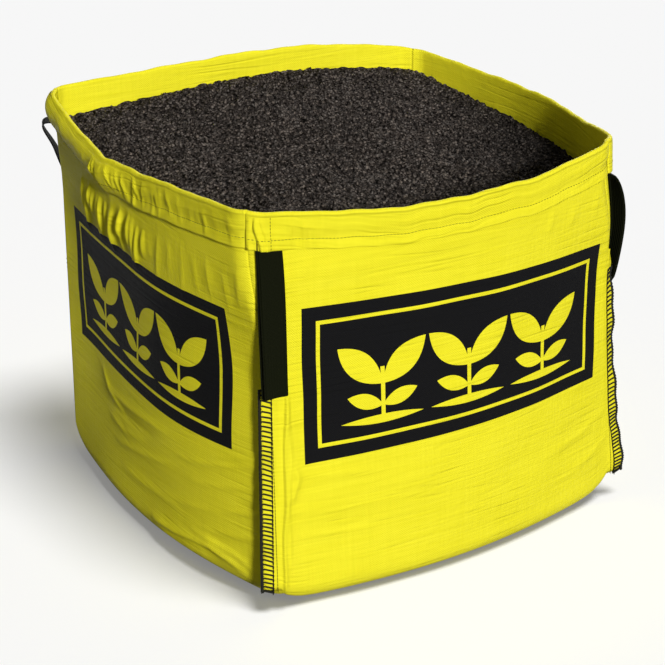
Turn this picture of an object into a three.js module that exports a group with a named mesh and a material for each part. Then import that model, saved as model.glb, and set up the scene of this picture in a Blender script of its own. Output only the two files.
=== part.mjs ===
// Open bulk bag of woven cloth, filled with topsoil.
// Millimetres, +Z up. The origin is the middle of the base, on the ground.
// Four like panels stand round a square base. Where two of them meet, the seam allowances of both
// stand out together as a fin, and black webbing loops hang from under the hem.
import * as THREE from 'three';

// Cloth, webbing and clearances
const CLOTH = 1.5;
const WEBBING = 2.5;
const CLEARANCE = 0.3;
const LOOP_CLEARANCE = 0.5;
const SEAM_CLEARANCE = 0.7;

// Bag body
const BAG_HEIGHT = 850;
const SEAM_SPACING = 860;
const MID_BELLY = 8;
const BASE_ROUND = 50;
const LIP = 60;
const FIN_WIDTH = 40;
const FIN_WIDTH_LEAST = 6;

// Hem, turned out over the loops
const HEM_DEPTH = 80;
const HEM_SLACK = 2;

// Lifting loops
const LOOP_WIDTH = 50;
const LOOP_TUCK = 45;
const LOOP_STANDOFF = 4;
const BIGHT_RADIUS = 8;

// Soil
const SOIL_DOME = 18;

// Hummocks of the soil as waves: length, direction in degrees, start in turns and height
const SOIL_WAVES = [
  [310, 20, 0.06, 3.2],
  [240, 105, 0.32, 2.6],
  [190, 62, 0.65, 2.4],
  [150, 150, 0.19, 2.2],
  [120, 85, 0.84, 2.0],
];

// Corners, counter-clockwise from the front left. The rim stands rimRise above the bag's height.
// There the seam stands out by flare along the next panel and is drawn in by pull. The soil lies
// soilDrop below the rim. The fin turns out of the plane of the panel on its right by finTurn
// degrees. The loop hangs on that panel, or on the one on its left, from loopOffset past the seam.
// Its outer leg bulges most at loopPeak of the way down.
const CORNERS = [
  {
    name: 'front_left', rimRise: 3, flare: 48, pull: 34, soilDrop: 50, finTurn: -30,
    loopOnLeft: false, loopOffset: -31, loopDrop: 295, loopBulge: 10, loopPeak: 0.5,
  },
  {
    name: 'front_right', rimRise: 0, flare: 20, pull: 64, soilDrop: 130, finTurn: 90,
    loopOnLeft: false, loopOffset: 8, loopDrop: 250, loopBulge: 32, loopPeak: 0.4,
  },
  {
    name: 'back_right', rimRise: -26, flare: 59, pull: 36, soilDrop: 52, finTurn: 0,
    loopOnLeft: false, loopOffset: -31, loopDrop: 295, loopBulge: 12, loopPeak: 0.4,
  },
  {
    name: 'back_left', rimRise: 15, flare: 36, pull: 0, soilDrop: 72, finTurn: -25,
    loopOnLeft: true, loopOffset: 6, loopDrop: 190, loopBulge: 88, loopPeak: 0.12,
  },
];

// Panels, each to the right of the corner of the same number. The cloth bellies out between its
// seams, at its base and at its rim, and the rim rises or sags between its corners by crown.
// A skew moves the fullest or highest place towards the left seam, midSkew at half height.
const PANELS = [
  { name: 'front', baseBelly: 53, rimBelly: 46, bellySkew: -0.11, midSkew: 0, crown: -30, crownSkew: -0.1 },
  { name: 'right', baseBelly: 70, rimBelly: 84, bellySkew: 0.02, midSkew: 0, crown: -21, crownSkew: -0.06 },
  { name: 'back', baseBelly: 75, rimBelly: 4, bellySkew: 0, midSkew: 0, crown: 33, crownSkew: 0.16 },
  { name: 'left', baseBelly: 57, rimBelly: 35, bellySkew: 0.06, midSkew: -0.3, crown: -32, crownSkew: 0.2 },
];

// Mesh steps
const WALL_COLUMNS = 16;
const WALL_ROWS = 9;
const FIN_ROWS = 7;
const FIN_COLUMNS = 2;
const ARC_STEPS = 4;
const ROLL_STEPS = 4;
const LEG_STEPS = 7;
const BIGHT_STEPS = 4;
const LOOP_COLUMNS = 3;
const SOIL_RINGS = 10;
const SETTLE_PASSES = 12;

// Sizes that follow from the ones above
const HALF = SEAM_SPACING / 2;
const SEAM_STEP = CLOTH + SEAM_CLEARANCE;
const LIP_HEIGHT = CLOTH + CLEARANCE + CLOTH / 2;
const LEG_OFFSET = CLOTH / 2 + LOOP_CLEARANCE + WEBBING / 2;
const LEG_STEP = WEBBING + CLEARANCE;
const FLAP_OFFSET = LEG_OFFSET + LEG_STEP + WEBBING / 2 + LOOP_CLEARANCE + HEM_SLACK + CLOTH / 2;
const ROLL_RADIUS = FLAP_OFFSET / 2;

const { clamp, degToRad, lerp, smoothstep } = THREE.MathUtils;

// Materials
const CLOTH_FINISH = { color: 0xf2e81c, roughness: 0.5, metalness: 0 };
const WEBBING_FINISH = { color: 0x17190f, roughness: 0.75, metalness: 0 };
const SOIL_FINISH = { color: 0x2f2a25, roughness: 1, metalness: 0 };

function corner(index) {
  return CORNERS[(index + 4) % 4];
}

// A swell from nothing at the ends, t 0 and 1, to its full depth near the middle
function swell(t, skew) {
  return Math.sin(Math.PI * t) + skew * Math.sin(2 * Math.PI * t);
}

// Heights along a panel's top, t from 0 at its left seam to 1 at its right seam
function rimHeight(k, t) {
  const rise = lerp(corner(k).rimRise, corner(k + 1).rimRise, t);
  return BAG_HEIGHT + rise + PANELS[k].crown * swell(t, PANELS[k].crownSkew);
}

function soilHeight(k, t) {
  return rimHeight(k, t) - lerp(corner(k).soilDrop, corner(k + 1).soilDrop, t);
}

function hemEdge(post) {
  return BAG_HEIGHT + post.rimRise - HEM_DEPTH;
}

// How far a corner has opened into its flare at a height: none below the loop, all at the hem
function flareShare(post, z) {
  return smoothstep(z, hemEdge(post) - post.loopDrop, hemEdge(post));
}

function pullShare(post, z) {
  return Math.min(z / hemEdge(post), 1);
}

function finWidth(post, z) {
  return lerp(FIN_WIDTH, FIN_WIDTH_LEAST, flareShare(post, z));
}

function belly(k, t, z) {
  const { baseBelly, rimBelly, bellySkew, midSkew } = PANELS[k];
  const rise = Math.min(z / rimHeight(k, t), 1);
  const depth = lerp(baseBelly, rimBelly, rise) + MID_BELLY * Math.sin(Math.PI * rise);
  return depth * swell(t, bellySkew * rise + midSkew * Math.sin(Math.PI * rise));
}

// Where a corner's seam runs at a height: how far along the fin, and how far drawn in
function seamShift(post, z) {
  return { along: post.flare * flareShare(post, z), inward: post.pull * pullShare(post, z) };
}

// Panel coordinates: x along the panel from left to right, y outward from the plane of its seams.
// The two layers of a fin lie half a seam step to each side of the seam.
function leftSeam(k, z) {
  const { along, inward } = seamShift(corner(k), z);
  const turn = degToRad(corner(k).finTurn);
  const step = new THREE.Vector2(Math.sin(turn), Math.cos(turn)).multiplyScalar(SEAM_STEP / 2);
  return new THREE.Vector2(-HALF - along, -inward).add(step);
}

function rightSeam(k, z) {
  const { along, inward } = seamShift(corner(k + 1), z);
  const turn = degToRad(corner(k + 1).finTurn);
  const step = new THREE.Vector2(Math.cos(turn), -Math.sin(turn)).multiplyScalar(SEAM_STEP / 2);
  return new THREE.Vector2(HALF - inward, along).sub(step);
}

// Free edges of a panel's two seam allowances
function leftFinEdge(k, z) {
  const turn = degToRad(corner(k).finTurn);
  const reach = new THREE.Vector2(-Math.cos(turn), Math.sin(turn));
  return leftSeam(k, z).addScaledVector(reach, finWidth(corner(k), z));
}

function rightFinEdge(k, z) {
  const turn = degToRad(corner(k + 1).finTurn);
  const reach = new THREE.Vector2(Math.sin(turn), Math.cos(turn));
  return rightSeam(k, z).addScaledVector(reach, finWidth(corner(k + 1), z));
}

function wallPoint(k, t, z) {
  const point = leftSeam(k, z).lerp(rightSeam(k, z), t);
  point.y += belly(k, t, z);
  return point;
}

function wallNormal(k, t, z) {
  const step = 0.01;
  const along = wallPoint(k, t + step, z).sub(wallPoint(k, t - step, z));
  return new THREE.Vector2(-along.y, along.x).normalize();
}

function mitre(a, b) {
  return a.clone().add(b).divideScalar(1 + a.dot(b));
}

// Direction in which the hem stands off the wall: square to it, and on the mitre at the seams
function outwardAt(k, t, z) {
  const own = wallNormal(k, t, z);
  if (t === 0) {
    const before = wallNormal((k + 3) % 4, 1, z);
    return mitre(own, new THREE.Vector2(-before.y, before.x));
  }
  if (t === 1) {
    const after = wallNormal((k + 1) % 4, 0, z);
    return mitre(own, new THREE.Vector2(after.y, -after.x));
  }
  return own;
}

// Towards the middle of the bag by inset, all four sides alike
function drawnIn(point, inset) {
  const share = 1 - inset / HALF;
  return new THREE.Vector2(point.x * share, (point.y + HALF) * share - HALF);
}

// Panel coordinates to those of the front panel in the bag
function placed(point, z) {
  return new THREE.Vector3(point.x, -HALF - point.y, z);
}

function inBag(k, point, z) {
  return placed(point, z).applyAxisAngle(new THREE.Vector3(0, 0, 1), (k * Math.PI) / 2);
}

// Rows up a panel at t: the bottom lip, the rounded foot, the wall, the rolled rim and the flap
function panelRows(k, t) {
  const rim = rimHeight(k, t);
  const soil = soilHeight(k, t);
  const rollZ = rim - CLOTH / 2 - ROLL_RADIUS;
  const flapEdge = rim - HEM_DEPTH;
  const footTop = LIP_HEIGHT + BASE_ROUND;
  const rows = [{ inset: BASE_ROUND + LIP, z: LIP_HEIGHT, out: 0 }];
  for (let i = 0; i <= ARC_STEPS; i++) {
    const angle = (i / ARC_STEPS) * (Math.PI / 2);
    rows.push({
      inset: BASE_ROUND * (1 - Math.sin(angle)),
      z: LIP_HEIGHT + BASE_ROUND * (1 - Math.cos(angle)),
      out: 0,
    });
  }
  for (let i = 1; i <= WALL_ROWS; i++) {
    rows.push({ inset: 0, z: lerp(footTop, soil, i / WALL_ROWS), out: 0 });
  }
  rows.push({ inset: 0, z: lerp(soil, rollZ, 0.5), out: 0 });
  for (let i = 0; i <= ROLL_STEPS; i++) {
    const angle = (i / ROLL_STEPS) * Math.PI;
    rows.push({
      inset: 0,
      z: rollZ + ROLL_RADIUS * Math.sin(angle),
      out: ROLL_RADIUS * (1 - Math.cos(angle)),
    });
  }
  rows.push({ inset: 0, z: lerp(rollZ, flapEdge, 0.5), out: FLAP_OFFSET });
  rows.push({ inset: 0, z: flapEdge, out: FLAP_OFFSET });
  return rows;
}

// Row numbers between which the fins stand, and the row at the soil's edge
const FIN_FOOT_ROW = ARC_STEPS;
const SOIL_ROW = 1 + ARC_STEPS + WALL_ROWS;
const FIN_TOP_ROW = FIN_FOOT_ROW + FIN_ROWS;

function panelPoint(k, t, row) {
  const point = drawnIn(wallPoint(k, t, row.z), row.inset);
  return point.addScaledVector(outwardAt(k, t, row.z), row.out);
}

// The step that is a distance off every plane with one of these normals, found by settling
function offsetFrom(normals, distance) {
  const shift = new THREE.Vector3();
  for (let pass = 0; pass < SETTLE_PASSES; pass++) {
    for (const normal of normals) shift.addScaledVector(normal, distance - normal.dot(shift));
  }
  return shift;
}

// One closed sheet of even thickness about a grid of points. Cells left out by isCell are open.
function thickSheet(grid, thickness, isCell = () => true) {
  const columns = grid.length - 1;
  const rows = grid[0].length - 1;
  const cellOn = (i, j) => i >= 0 && j >= 0 && i < columns && j < rows && isCell(i, j);
  const normals = grid.map((line) => line.map(() => []));
  for (let i = 0; i < columns; i++) {
    for (let j = 0; j < rows; j++) {
      if (!cellOn(i, j)) continue;
      const across = grid[i + 1][j + 1].clone().sub(grid[i][j]);
      const other = grid[i][j + 1].clone().sub(grid[i + 1][j]);
      const normal = across.cross(other).normalize();
      for (const [a, b] of [[i, j], [i + 1, j], [i + 1, j + 1], [i, j + 1]]) {
        normals[a][b].push(normal);
      }
    }
  }
  const positions = [];
  const faces = [];
  const outerIds = grid.map((line) => line.map(() => -1));
  grid.forEach((line, i) => line.forEach((point, j) => {
    if (normals[i][j].length === 0) return;
    const shift = offsetFrom(normals[i][j], thickness / 2);
    outerIds[i][j] = positions.length / 3;
    positions.push(...point.clone().add(shift).toArray(), ...point.clone().sub(shift).toArray());
  }));
  const outer = (i, j) => outerIds[i][j];
  const inner = (i, j) => outerIds[i][j] + 1;
  for (let i = 0; i < columns; i++) {
    for (let j = 0; j < rows; j++) {
      if (!cellOn(i, j)) continue;
      const loop = [[i, j], [i + 1, j], [i + 1, j + 1], [i, j + 1]];
      const [a, b, c, d] = loop.map(([m, n]) => outer(m, n));
      faces.push(a, b, c, a, c, d);
      const [e, f, g, h] = loop.map(([m, n]) => inner(m, n));
      faces.push(e, g, f, e, h, g);
      const beyond = [[i, j - 1], [i + 1, j], [i, j + 1], [i - 1, j]];
      beyond.forEach(([m, n], side) => {
        if (cellOn(m, n)) return;
        const [p, q] = [loop[side], loop[(side + 1) % 4]];
        faces.push(outer(...q), outer(...p), inner(...p), outer(...q), inner(...p), inner(...q));
      });
    }
  }
  return closedGeometry(positions, faces);
}

// One closed solid from rings of equal count, lowest first, capped by a point at each end
function ringSolid(rings, bottom, top) {
  const count = rings[0].length;
  const positions = [...rings.flat(), bottom, top].flatMap((point) => point.toArray());
  const bottomId = rings.length * count;
  const topId = bottomId + 1;
  const lastRing = (rings.length - 1) * count;
  const faces = [];
  for (let i = 0; i < count; i++) {
    const next = (i + 1) % count;
    faces.push(bottomId, next, i, topId, lastRing + i, lastRing + next);
    for (let r = 0; r < rings.length - 1; r++) {
      const [a, b] = [r * count + i, r * count + next];
      faces.push(a, b, b + count, a, b + count, a + count);
    }
  }
  return closedGeometry(positions, faces);
}

function closedGeometry(positions, faces) {
  const geometry = new THREE.BufferGeometry();
  geometry.setAttribute('position', new THREE.Float32BufferAttribute(positions, 3));
  geometry.setIndex(faces);
  geometry.computeVertexNormals();
  return geometry;
}

function makeMesh(name, geometry, finish) {
  const mesh = new THREE.Mesh(geometry, new THREE.MeshStandardMaterial(finish));
  mesh.name = name;
  return mesh;
}

// A panel with its lip, wall and hem, its fin on the left and its turned-out allowance on the right
function panelGeometry(k) {
  const columns = [];
  for (let i = FIN_COLUMNS; i > 0; i--) {
    const share = i / FIN_COLUMNS;
    columns.push(panelRows(k, 0).map((row) => {
      const edge = drawnIn(leftFinEdge(k, row.z), row.inset);
      return placed(panelPoint(k, 0, row).lerp(edge, share), row.z);
    }));
  }
  for (let i = 0; i <= WALL_COLUMNS; i++) {
    const t = i / WALL_COLUMNS;
    columns.push(panelRows(k, t).map((row) => placed(panelPoint(k, t, row), row.z)));
  }
  for (let i = 1; i <= FIN_COLUMNS; i++) {
    const share = i / FIN_COLUMNS;
    columns.push(panelRows(k, 1).map((row) => {
      const edge = drawnIn(rightFinEdge(k, row.z), row.inset);
      return placed(panelPoint(k, 1, row).lerp(edge, share), row.z);
    }));
  }
  const lastWall = FIN_COLUMNS + WALL_COLUMNS;
  return thickSheet(columns, CLOTH, (i, j) => {
    const onWall = i >= FIN_COLUMNS && i < lastWall;
    return onWall || (j >= FIN_FOOT_ROW && j < FIN_TOP_ROW);
  });
}

// Where the inner faces of two neighbouring panels meet, set in by a distance from both
function innerCorner(k, row, distance) {
  const before = (k + 3) % 4;
  const turned = (v) => new THREE.Vector2(-v.y, v.x);
  const ownNormal = wallNormal(k, 0, row.z);
  const otherNormal = turned(wallNormal(before, 1, row.z));
  const ownPoint = drawnIn(wallPoint(k, 0, row.z), row.inset);
  const otherEnd = drawnIn(wallPoint(before, 1, row.z), row.inset);
  const otherPoint = new THREE.Vector2(-HALF - otherEnd.y, otherEnd.x - HALF);
  const ownLevel = ownPoint.dot(ownNormal) - distance;
  const otherLevel = otherPoint.dot(otherNormal) - distance;
  const area = ownNormal.cross(otherNormal);
  return new THREE.Vector2(
    (ownLevel * otherNormal.y - otherLevel * ownNormal.y) / area,
    (otherLevel * ownNormal.x - ownLevel * otherNormal.x) / area,
  );
}

// Ring round the inside of the bag at one row, with one point for each wall column and corner
function insideRing(rowNumber, distance, lift) {
  const ring = [];
  for (let k = 0; k < 4; k++) {
    for (let i = 0; i < WALL_COLUMNS; i++) {
      const t = i / WALL_COLUMNS;
      const row = panelRows(k, t)[rowNumber];
      const point = i === 0
        ? innerCorner(k, row, distance + SEAM_CLEARANCE)
        : panelPoint(k, t, row).addScaledVector(wallNormal(k, t, row.z), -distance);
      ring.push(inBag(k, point, row.z + lift(row)));
    }
  }
  return ring;
}

// The hummocks' height at a place, share of the way in from the soil's edge
function hummock(point, share) {
  let height = 0;
  for (const [length, degrees, start, rise] of SOIL_WAVES) {
    const turn = degToRad(degrees);
    const along = point.x * Math.cos(turn) + point.y * Math.sin(turn);
    height += rise * Math.sin(2 * Math.PI * (along / length + start));
  }
  return height * smoothstep(share, 0, 0.15);
}

// The soil fills the bag to the soil row, a clearance inside the cloth, and domes in the middle
function soilGeometry() {
  const gap = CLOTH / 2 + CLEARANCE;
  const footTop = LIP_HEIGHT + BASE_ROUND;
  const lift = (row) => gap * Math.max(0, (footTop - row.z) / BASE_ROUND);
  const rings = [];
  for (let r = 1; r <= SOIL_ROW; r++) rings.push(insideRing(r, gap, lift));
  const edge = rings[rings.length - 1];
  const middle = edge.reduce((sum, p) => sum.add(p), new THREE.Vector3()).divideScalar(edge.length);
  for (let r = 1; r < SOIL_RINGS; r++) {
    const share = r / SOIL_RINGS;
    rings.push(edge.map((p) => {
      const point = p.clone().lerp(middle, share);
      point.z += SOIL_DOME * (1 - (1 - share) ** 2) + hummock(point, share);
      return point;
    }));
  }
  const top = middle.clone();
  top.z += SOIL_DOME + hummock(top, 1);
  const bottom = new THREE.Vector3(0, 0, LIP_HEIGHT + gap);
  return ringSolid(rings, bottom, top);
}

// The base lies under the lips, out to where the foot begins to round up
function baseGeometry() {
  const under = insideRing(1, 0, (row) => -row.z);
  const over = under.map((p) => new THREE.Vector3(p.x, p.y, CLOTH));
  return ringSolid([under, over], new THREE.Vector3(0, 0, 0), new THREE.Vector3(0, 0, CLOTH));
}

// A loop's route as height and distance from the wall: down the inner leg, round the bight and up
function loopRoute(post, flapEdge) {
  const bightZ = flapEdge - post.loopDrop + BIGHT_RADIUS + WEBBING / 2;
  const outerLeg = LEG_OFFSET + LEG_STEP;
  const innerFoot = LEG_OFFSET + LOOP_STANDOFF;
  const outerFoot = innerFoot + 2 * BIGHT_RADIUS;
  const route = [{ z: flapEdge + LOOP_TUCK, out: LEG_OFFSET }];
  for (let i = 0; i <= LEG_STEPS; i++) {
    const fall = i / LEG_STEPS;
    route.push({ z: lerp(flapEdge, bightZ, fall), out: LEG_OFFSET + LOOP_STANDOFF * Math.sqrt(fall) });
  }
  for (let i = 1; i < BIGHT_STEPS; i++) {
    const angle = (i / BIGHT_STEPS) * Math.PI;
    const out = innerFoot + BIGHT_RADIUS * (1 - Math.cos(angle));
    route.push({ z: bightZ - BIGHT_RADIUS * Math.sin(angle), out });
  }
  for (let i = LEG_STEPS; i >= 0; i--) {
    const fall = i / LEG_STEPS;
    const past = fall / post.loopPeak;
    const bulge = post.loopBulge * past * Math.exp(1 - past) * (1 - fall ** 4);
    route.push({ z: lerp(flapEdge, bightZ, fall), out: lerp(outerLeg, outerFoot, fall) + bulge });
  }
  route.push({ z: flapEdge + LOOP_TUCK, out: outerLeg });
  return route;
}

// The wall's outward place at x and z, on the flat cells between its rows
function wallOutAt(k, x, z) {
  const heights = panelRows(k, 0).filter((row) => row.inset === 0 && row.out === 0).map((row) => row.z);
  const above = heights.findIndex((height, i) => i > 0 && (height >= z || i === heights.length - 1));
  const [low, high] = [heights[above - 1], heights[above]];
  const share = (z - low) / (high - low);
  const left = lerp(leftSeam(k, low).x, leftSeam(k, high).x, share);
  const right = lerp(rightSeam(k, low).x, rightSeam(k, high).x, share);
  const t = clamp((x - left) / (right - left), 0, 1);
  return lerp(wallPoint(k, t, low).y, wallPoint(k, t, high).y, share);
}

// The loop of one corner, in the coordinates of the panel k that it hangs on
function loopGeometry(k, post) {
  const sign = post.loopOnLeft ? -1 : 1;
  const seamX = post.loopOnLeft ? HALF - post.pull : -HALF;
  const edgeX = seamX + sign * post.loopOffset;
  const xs = [];
  for (let i = 0; i <= LOOP_COLUMNS; i++) xs.push(edgeX + (sign * LOOP_WIDTH * i) / LOOP_COLUMNS);
  xs.sort((a, b) => b - a);
  const rims = xs.map((x) => rimHeight(k, clamp(x / SEAM_SPACING + 0.5, 0, 1)));
  const route = loopRoute(post, Math.min(...rims) - HEM_DEPTH - WEBBING);
  const columns = xs.map((x) => route.map(({ z, out }) => {
    return placed(new THREE.Vector2(x, wallOutAt(k, x, z) + out), z);
  }));
  return thickSheet(columns, WEBBING);
}

const bag = new THREE.Group();
PANELS.forEach((panel, k) => {
  const side = new THREE.Group();
  side.rotation.z = (k * Math.PI) / 2;
  side.add(makeMesh(`${panel.name}_panel`, panelGeometry(k), CLOTH_FINISH));
  for (const post of [corner(k), corner(k + 1)]) {
    if (post.loopOnLeft === (post === corner(k))) continue;
    side.add(makeMesh(`lift_loop_${post.name}`, loopGeometry(k, post), WEBBING_FINISH));
  }
  bag.add(side);
});
bag.add(makeMesh('base_panel', baseGeometry(), CLOTH_FINISH));
bag.add(makeMesh('topsoil', soilGeometry(), SOIL_FINISH));

export default bag;
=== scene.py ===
"""Open bulk bag of woven yellow cloth with black lifting loops, full of topsoil."""
import itertools
import math
from functools import partial, partialmethod

import bpy
import numpy as np
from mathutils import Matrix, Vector


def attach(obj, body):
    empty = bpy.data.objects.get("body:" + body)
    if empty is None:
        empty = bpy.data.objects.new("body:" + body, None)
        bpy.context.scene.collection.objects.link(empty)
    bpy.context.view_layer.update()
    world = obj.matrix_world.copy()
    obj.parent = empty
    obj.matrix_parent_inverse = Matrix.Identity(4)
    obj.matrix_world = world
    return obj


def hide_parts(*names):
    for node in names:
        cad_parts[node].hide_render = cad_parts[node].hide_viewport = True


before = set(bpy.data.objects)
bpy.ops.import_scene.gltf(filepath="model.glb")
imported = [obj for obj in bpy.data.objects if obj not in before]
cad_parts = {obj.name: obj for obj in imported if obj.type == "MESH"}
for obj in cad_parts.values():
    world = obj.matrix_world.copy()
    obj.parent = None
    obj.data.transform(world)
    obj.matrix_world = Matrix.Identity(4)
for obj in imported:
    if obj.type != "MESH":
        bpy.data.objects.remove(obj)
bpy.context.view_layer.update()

DRAW = np.random.default_rng(7)

# Bag sizes, in metres
HALF = 0.43
CLOTH = 0.0012
SEAM_STEP = 0.0016
MID_BELLY = 0.008
BASE_ROUND = 0.05
LIP = 0.06
LIP_HEIGHT = 0.00255
FIN_WIDTH = 0.036
FIN_FOOT = 0.03
HEM_DEPTH = 0.08
FLAP_DEPTH = 0.075
HEM_STITCH = 0.05
ROLL_RADIUS = 0.0049
CORNER_ROUND = 0.04
WEBBING = 0.0025
LOOP_WIDTH = 0.05
LOOP_TUCK = 0.045
LOOP_STANDOFF = 0.004
LEG_OFFSET = 0.0025
LEG_STEP = 0.0028
BIGHT_RADIUS = 0.0055
SOIL_DOME = 0.018

# Heights and reaches of the seams' forms, in metres, and the fins' taper per metre
LIFT_REACH = 0.025
LIFT_HEIGHT = 0.25
BOW_HEIGHT = 0.66
BOW_REACH = 0.1
FIN_TAPER = 0.024
FIN_SLIMMING = (0.1, 0.3)
FIN_RUN_OUT = 0.05
GAP_CLOSING = 0.94
GAP_CLOSED_BELOW = 0.03

# Hummocks of the soil as waves: length, direction in degrees, start in turns and height
SOIL_WAVES = (
    (0.31, 20, 0.06, 0.0032),
    (0.24, 105, 0.32, 0.0026),
    (0.19, 62, 0.65, 0.0024),
    (0.15, 150, 0.19, 0.0022),
    (0.12, 85, 0.84, 0.002),
)

# Corners from the front left, counter-clockwise: plain values, and each corner's own
PLAIN_CORNER = dict(fin_top=0.53, fin_slim=0, lift=0.03, bow=0, on_left=False, loop_turn=0, loop_lean=0)
CORNERS = tuple({**PLAIN_CORNER, **own} for own in (
    dict(name="front_left", rim=0.853, flare=0.048, pull=0.034, soil_drop=0.05, fin_turn=-30, lift=0.018,
         loop_offset=-0.031, loop_drop=0.295, loop_bulge=0.004, loop_peak=0.5),
    dict(name="front_right", rim=0.85, flare=0.02, pull=0.064, soil_drop=0.13, fin_turn=90,
         fin_top=0.605, fin_slim=0.011, bow=0.014,
         loop_offset=0.008, loop_drop=0.25, loop_bulge=0.012, loop_peak=0.45, loop_turn=34),
    dict(name="back_right", rim=0.824, flare=0.059, pull=0.036, soil_drop=0.052, fin_turn=0,
         loop_offset=-0.031, loop_drop=0.295, loop_bulge=0.012, loop_peak=0.4),
    dict(name="back_left", rim=0.865, flare=0.036, pull=0.000, soil_drop=0.072, fin_turn=-60, on_left=True,
         loop_offset=0.006, loop_drop=0.19, loop_bulge=0.082, loop_peak=0.27, loop_turn=66,
         loop_lean=-0.027),
))

# Panels, each to the right of the corner of its number. A field is the printed part of the cloth
PLAIN_PANEL = dict(mid_skew=0, field=(-0.365, 0.365, 0.316, 0.64), taper=(0, 0))
PANELS = tuple({**PLAIN_PANEL, **own} for own in (
    dict(name="front", base=0.053, top=0.046, skew=-0.11, crown=-0.03, crown_skew=-0.1,
         field=(-0.372, 0.353, 0.316, 0.643), taper=(0.004, -0.018)),
    dict(name="right", base=0.07, top=0.084, skew=0.02, crown=-0.021, crown_skew=-0.06),
    dict(name="back", base=0.075, top=0.004, skew=0.00, crown=0.033, crown_skew=0.16),
    dict(name="left", base=0.057, top=0.035, skew=0.06, mid_skew=-0.3, crown=-0.032, crown_skew=0.2,
         field=(-0.366, 0.306, 0.324, 0.628)),
))
NAMES = [panel["name"] for panel in PANELS]


# Bag shape: t runs along a panel from its left seam to its right, z is the height
def corner(k):
    return CORNERS[k % 4]


def smooth(value, low, high):
    share = np.clip((value - low) / (high - low), 0, 1)
    return share * share * (3 - 2 * share)


def swell(t, skew):
    return np.sin(np.pi * t) + skew * np.sin(2 * np.pi * t)


def rim_height(k, t):
    ends = corner(k)["rim"] * (1 - t) + corner(k + 1)["rim"] * t
    return ends + PANELS[k]["crown"] * swell(t, PANELS[k]["crown_skew"])


def soil_height(k, t):
    return rim_height(k, t) - corner(k)["soil_drop"] * (1 - t) - corner(k + 1)["soil_drop"] * t


def flare_share(post, z):
    edge = post["rim"] - HEM_DEPTH
    return smooth(z, edge - post["loop_drop"], edge)


def seam_shift(post, z):
    edge = post["rim"] - HEM_DEPTH
    bow = post["bow"] * np.exp(-((z - BOW_HEIGHT) / BOW_REACH) ** 2)
    return post["flare"] * flare_share(post, z), post["pull"] * np.minimum(z / edge, 1) - bow


def fin_width(post, z):
    width = FIN_WIDTH - FIN_TAPER * z - post["fin_slim"] * smooth(z, *FIN_SLIMMING)
    return width * (1.001 - smooth(z, post["fin_top"] - FIN_RUN_OUT, post["fin_top"]))


def lifted(k, t, z):
    """Heights with the bottom corners of the bag drawn up off the ground."""
    near, far = t * 2 * HALF, (1 - t) * 2 * HALF
    lift = corner(k)["lift"] * np.exp(-near / LIFT_REACH) + corner(k + 1)["lift"] * np.exp(-far / LIFT_REACH)
    return z + lift * (1 - smooth(z, 0, LIFT_HEIGHT))


def seam_gap(post, z):
    """Half the step between the two layers of a seam, which closes up to the hem."""
    return SEAM_STEP / 2 * (1 - GAP_CLOSING * flare_share(post, z + GAP_CLOSED_BELOW))


def left_seam(k, z, layer=1):
    """The seam at a panel's left end, or with layer -1 the neighbour's side of that seam."""
    along, inward = seam_shift(corner(k), z)
    turn, gap = math.radians(corner(k)["fin_turn"]), layer * seam_gap(corner(k), z)
    return -HALF - along + math.sin(turn) * gap, -inward + math.cos(turn) * gap


def from_next(s, o):
    """A place given for the next panel to the right, as seen from this one."""
    return HALF + o, -HALF - s


def right_seam(k, z):
    return from_next(*left_seam(k + 1, z, -1))


def belly(k, t, z):
    panel = PANELS[k]
    rise = np.minimum(z / rim_height(k, t), 1)
    depth = panel["base"] + (panel["top"] - panel["base"]) * rise + MID_BELLY * np.sin(np.pi * rise)
    return depth * swell(t, panel["skew"] * rise + panel["mid_skew"] * np.sin(np.pi * rise))


def wall(k, t, z):
    """Place along the panel and outward from the plane of its seams."""
    (left_s, left_o), (right_s, right_o) = left_seam(k, z), right_seam(k, z)
    s = left_s + (right_s - left_s) * t
    return s, left_o + (right_o - left_o) * t + belly(k, t, z)


def rounded(k, t, z):
    """The wall with its ends turned round the corner, more so towards the rim."""
    s, o = wall(k, t, z)
    for post, end, inside in ((corner(k), 0.0, 1), (corner(k + 1), 1.0, -1)):
        end_s, _ = wall(k, end, z)
        radius = CORNER_ROUND * flare_share(post, z) + 1e-6
        gap = (s - end_s) * inside
        turn = np.clip(1 - gap / radius, 0, 1) * np.pi / 4
        s = np.where(gap < radius, end_s + inside * radius * (1 - np.sin(turn)), s)
        o = o - radius * (1 - np.cos(turn))
    return s, o


def to_bag(k, s, o, z):
    """Panel places to the bag's own frame."""
    x, y = s, -HALF - o
    for _ in range(k):
        x, y = -y, x
    return np.stack(np.broadcast_arrays(x, y, z), axis=-1)


def round_bag(columns, rule):
    """A ring of points round the bag, by a rule that gives places on a panel."""
    t = np.linspace(0, 1, columns + 1)[:-1]
    return np.concatenate([to_bag(k, *rule(k, t)) for k in range(4)])


def run_along(line):
    """How far it is along a line to each of its points."""
    return np.concatenate([[0], np.cumsum(np.linalg.norm(np.diff(line, axis=0), axis=1))])


# Creases and puckers
CREST_ROUND = 0.4
TIP_ROUND = 0.2
CREASE_GAIN = 1.9


def peak(distance, round_off):
    """A peak that falls away on both sides, with its tip rounded off."""
    return np.exp(round_off - np.sqrt(distance ** 2 + round_off ** 2))


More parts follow.
